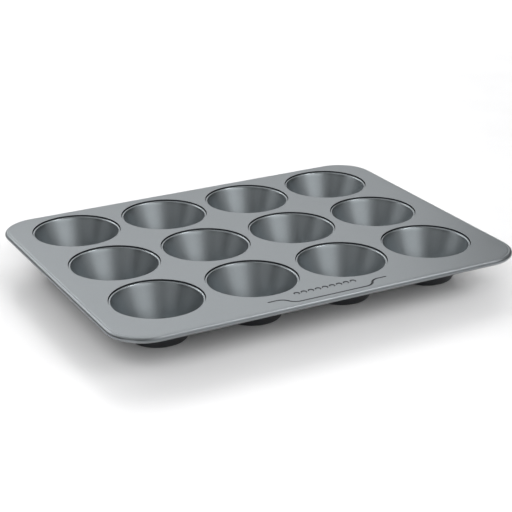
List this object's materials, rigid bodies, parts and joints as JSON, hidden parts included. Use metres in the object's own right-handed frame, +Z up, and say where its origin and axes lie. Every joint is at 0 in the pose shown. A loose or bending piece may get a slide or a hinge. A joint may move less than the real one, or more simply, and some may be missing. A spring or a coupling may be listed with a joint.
{
  "type": "muffin tin",
  "caption": "Coated steel muffin tin: a flat deck with a rolled, wired rim and stepped mouths, and tapered drawn cups nested in it in rows.",
  "frame": {"origin": "middle of the plate, on the surface that the cups stand on", "axes": "+X along the long side, -Y towards the front edge with the pressed line, +Z up"},
  "size_m": [0.342, 0.261, 0.03],
  "materials": {
    "deck": "satin non-stick coating",
    "rim_wire": "drawn steel wire",
    "cup_front_1": "satin non-stick coating",
    "cup_front_2": "satin non-stick coating",
    "cup_front_3": "satin non-stick coating",
    "cup_front_4": "satin non-stick coating",
    "cup_middle_1": "satin non-stick coating",
    "cup_middle_2": "satin non-stick coating",
    "cup_middle_3": "satin non-stick coating",
    "cup_middle_4": "satin non-stick coating",
    "cup_back_1": "satin non-stick coating",
    "cup_back_2": "satin non-stick coating",
    "cup_back_3": "satin non-stick coating",
    "cup_back_4": "satin non-stick coating"
  },
  "bodies": {
    "root": {"deck": "deck", "rim_wire": "rim_wire", "cup_front_1": "cup_front_1", "cup_front_2": "cup_front_2", "cup_front_3": "cup_front_3", "cup_front_4": "cup_front_4", "cup_middle_1": "cup_middle_1", "cup_middle_2": "cup_middle_2", "cup_middle_3": "cup_middle_3", "cup_middle_4": "cup_middle_4", "cup_back_1": "cup_back_1", "cup_back_2": "cup_back_2", "cup_back_3": "cup_back_3", "cup_back_4": "cup_back_4"}
  },
  "joints": []
}
